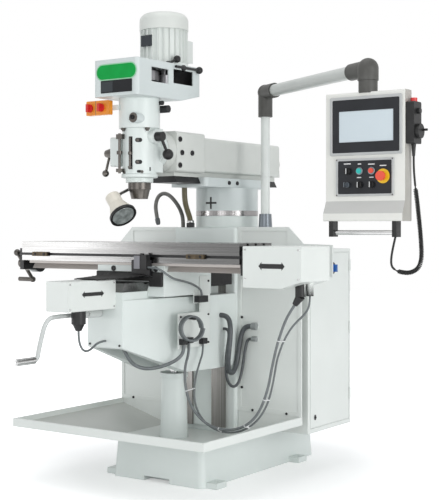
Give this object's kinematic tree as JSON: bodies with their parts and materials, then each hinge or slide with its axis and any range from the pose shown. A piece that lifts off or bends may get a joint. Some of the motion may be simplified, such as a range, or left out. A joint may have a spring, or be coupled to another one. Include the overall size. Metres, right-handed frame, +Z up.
{
  "type": "milling machine",
  "caption": "Knee-type vertical milling machine with a swivelling turret head, slotted table, servo drive boxes, chip tray and a hanging control panel on a swing arm.",
  "frame": {"origin": "on the floor under the middle of the base", "axes": "+X to the operator's right, +Y to the back, +Z up"},
  "size_m": [2.2094, 1.882, 2.192],
  "materials": {
    "white_paint": "satin machine enamel, off-white",
    "ram_paint": "satin machine enamel, warm light grey",
    "turret_paint": "satin machine enamel, blue-grey",
    "dark_paint": "satin dark grey enamel",
    "ground_steel": "ground and scraped steel",
    "bright_steel": "polished steel",
    "black_steel": "black oxide steel",
    "black_plastic": "moulded black plastic",
    "black_rubber": "oil-proof rubber",
    "grey_cable": "cable sheath, grey",
    "cream_hose": "ribbed sheath, cream",
    "brown_hose": "cable sheath, brown",
    "orange_plastic": "moulded plastic, orange",
    "red_plastic": "moulded plastic, red",
    "green_plastic": "moulded plastic, green",
    "blue_plastic": "moulded plastic, blue",
    "cast_pulley": "turned aluminium"
  },
  "bodies": {
    "base": {"base": "white_paint", "chip_tray": "white_paint", "column": "white_paint", "rear_guard": "white_paint", "cabinet": "white_paint", "screw_pedestal": "white_paint", "pendant_pole": "white_paint", "coolant_hose": "cream_hose", "turret_conduit": "brown_hose", "knee_hoses": "grey_cable"},
    "main_switch": {"main_switch": "blue_plastic"},
    "knee": {"knee": "white_paint", "knee_screw": "ground_steel", "y_box": "white_paint", "y_cable": "grey_cable", "knee_bundle": "grey_cable"},
    "knee_crank": {"knee_crank": "bright_steel"},
    "saddle": {"saddle": "white_paint", "way_cover": "black_rubber", "limit_switch": "black_steel", "cable_bracket": "white_paint", "rear_bellows": "black_rubber", "switch_cable": "grey_cable", "x_power_cable": "grey_cable", "x_signal_cable": "grey_cable"},
    "table": {"table": "ground_steel", "table_fittings": "black_steel", "x_box": "white_paint"},
    "x_screw": {"x_screw": "bright_steel"},
    "turret": {"turret": "turret_paint"},
    "ram": {"ram": "ram_paint"},
    "head": {"head_casting": "white_paint", "gear_housing": "white_paint", "belt_housing": "white_paint", "motor": "white_paint", "drive_belt": "black_rubber", "switch_box": "orange_plastic", "work_lamp": "white_paint"},
    "quill": {"quill": "bright_steel"},
    "spindle": {"spindle": "black_steel"},
    "spindle_pulley": {"spindle_pulley": "cast_pulley"},
    "motor_pulley": {"motor_pulley": "cast_pulley"},
    "quill_lever": {"quill_lever": "black_plastic"},
    "feed_wheel": {"feed_wheel": "black_plastic"},
    "switch_knob_left": {"switch_knob_left": "red_plastic"},
    "switch_knob_right": {"switch_knob_right": "red_plastic"},
    "pendant_arm": {"pendant_arm": "white_paint"},
    "panel": {"panel_box": "white_paint", "panel_fascia": "black_plastic", "panel_handle": "bright_steel", "handwheel_unit": "black_plastic", "handwheel_cord": "black_rubber"},
    "handwheel_dial": {"handwheel_dial": "black_plastic"},
    "start_button": {"start_button": "green_plastic"},
    "stop_button": {"stop_button": "red_plastic"},
    "estop_button": {"estop_button": "red_plastic"},
    "mode_selector": {"mode_selector": "black_plastic"},
    "override_selector": {"override_selector": "black_plastic"},
    "speed_selector": {"speed_selector": "black_plastic"},
    "key_switch": {"key_switch": "bright_steel"}
  },
  "joints": [
    {"name": "main_switch_turn", "type": "hinge", "parent": "base", "child": "main_switch", "pos_m": [0.545, 0.202, 0.99], "axis": [1, 0, 0], "range_deg": [0, 90]},
    {"name": "knee_lift", "type": "slide", "parent": "base", "child": "knee", "axis": [0, 0, 1], "range_m": [-0.25, 0.06], "deforming": ["knee_hoses"]},
    {"name": "knee_crank_turn", "type": "hinge", "parent": "knee", "child": "knee_crank", "pos_m": [-0.03, -1, 0.812], "axis": [0, -1, 0], "continuous": true},
    {"name": "saddle_cross", "type": "slide", "parent": "knee", "child": "saddle", "axis": [0, 1, 0], "range_m": [-0.15, 0.13], "deforming": ["knee_bundle", "rear_bellows"]},
    {"name": "table_traverse", "type": "slide", "parent": "saddle", "child": "table", "axis": [1, 0, 0], "range_m": [-0.347, 0.38], "deforming": ["x_power_cable", "x_signal_cable"]},
    {"name": "x_screw_turn", "type": "hinge", "parent": "table", "child": "x_screw", "pos_m": [-0.784, -0.573, 1.011], "axis": [1, 0, 0], "range_deg": [-12492, 13680]},
    {"name": "turret_swivel", "type": "hinge", "parent": "base", "child": "turret", "pos_m": [0, 0.084, 1.3], "axis": [0, 0, 1], "range_deg": [-45, 45], "deforming": ["turret_conduit"]},
    {"name": "ram_slide", "type": "slide", "parent": "turret", "child": "ram", "axis": [0, 1, 0], "range_m": [-0.15, 0.25]},
    {"name": "head_tilt", "type": "hinge", "parent": "ram", "child": "head", "pos_m": [0, -0.528, 1.545], "axis": [0, -1, 0], "range_deg": [-45, 45]},
    {"name": "quill_feed", "type": "slide", "parent": "head", "child": "quill", "axis": [0, 0, -1], "range_m": [0, 0.127]},
    {"name": "spindle_spin", "type": "hinge", "parent": "quill", "child": "spindle", "pos_m": [0, -0.623, 1.35], "axis": [0, 0, 1], "continuous": true},
    {"name": "spindle_pulley_spin", "type": "hinge", "parent": "head", "child": "spindle_pulley", "pos_m": [0, -0.623, 1.85], "axis": [0, 0, 1], "continuous": true},
    {"name": "motor_pulley_spin", "type": "hinge", "parent": "head", "child": "motor_pulley", "pos_m": [0, -0.44, 1.85], "axis": [0, 0, 1], "continuous": true},
    {"name": "quill_lever_turn", "type": "hinge", "parent": "head", "child": "quill_lever", "pos_m": [0.1, -0.623, 1.6], "axis": [1, 0, 0], "range_deg": [0, 363.83]},
    {"name": "feed_wheel_turn", "type": "hinge", "parent": "head", "child": "feed_wheel", "pos_m": [-0.118, -0.655, 1.53], "axis": [-1, 0, 0], "continuous": true},
    {"name": "switch_left_turn", "type": "hinge", "parent": "head", "child": "switch_knob_left", "pos_m": [-0.2, -0.736, 1.735], "axis": [0, -1, 0], "range_deg": [-45, 45]},
    {"name": "switch_right_turn", "type": "hinge", "parent": "head", "child": "switch_knob_right", "pos_m": [-0.132, -0.736, 1.735], "axis": [0, -1, 0], "range_deg": [-45, 45]},
    {"name": "arm_swing", "type": "hinge", "parent": "base", "child": "pendant_arm", "pos_m": [0.275, 0.015, 1.8], "axis": [0, 0, 1], "range_deg": [-10, 60]},
    {"name": "panel_swivel", "type": "hinge", "parent": "pendant_arm", "child": "panel", "pos_m": [1.079, -0.45, 1.8], "axis": [0, 0, 1], "range_deg": [-45, 45]},
    {"name": "handwheel_turn", "type": "hinge", "parent": "panel", "child": "handwheel_dial", "pos_m": [1.299, -0.44, 1.58], "axis": [1, 0, 0], "continuous": true},
    {"name": "start_press", "type": "slide", "parent": "panel", "child": "start_button", "axis": [0, 1, 0], "range_m": [0, 0.004]},
    {"name": "stop_press", "type": "slide", "parent": "panel", "child": "stop_button", "axis": [0, 1, 0], "range_m": [0, 0.004]},
    {"name": "estop_press", "type": "slide", "parent": "panel", "child": "estop_button", "axis": [0, 1, 0], "range_m": [0, 0.004]},
    {"name": "mode_selector_turn", "type": "hinge", "parent": "panel", "child": "mode_selector", "pos_m": [1.005, -0.486, 1.423], "axis": [0, -1, 0], "range_deg": [-45, 45]},
    {"name": "override_selector_turn", "type": "hinge", "parent": "panel", "child": "override_selector", "pos_m": [1.058, -0.486, 1.366], "axis": [0, -1, 0], "range_deg": [-60, 60]},
    {"name": "speed_selector_turn", "type": "hinge", "parent": "panel", "child": "speed_selector", "pos_m": [1.114, -0.486, 1.366], "axis": [0, -1, 0], "range_deg": [-60, 60]},
    {"name": "key_switch_turn", "type": "hinge", "parent": "panel", "child": "key_switch", "pos_m": [1.003, -0.486, 1.366], "axis": [0, -1, 0], "range_deg": [0, 90]}
  ],
  "couplings": [
    {"joint": "x_screw_turn", "follows": "table_traverse", "rad_per_m": 628.32},
    {"joint": "spindle_pulley_spin", "follows": "spindle_spin", "ratio": 1},
    {"joint": "motor_pulley_spin", "follows": "spindle_spin", "ratio": 1},
    {"joint": "quill_lever_turn", "follows": "quill_feed", "rad_per_m": 50}
  ]
}
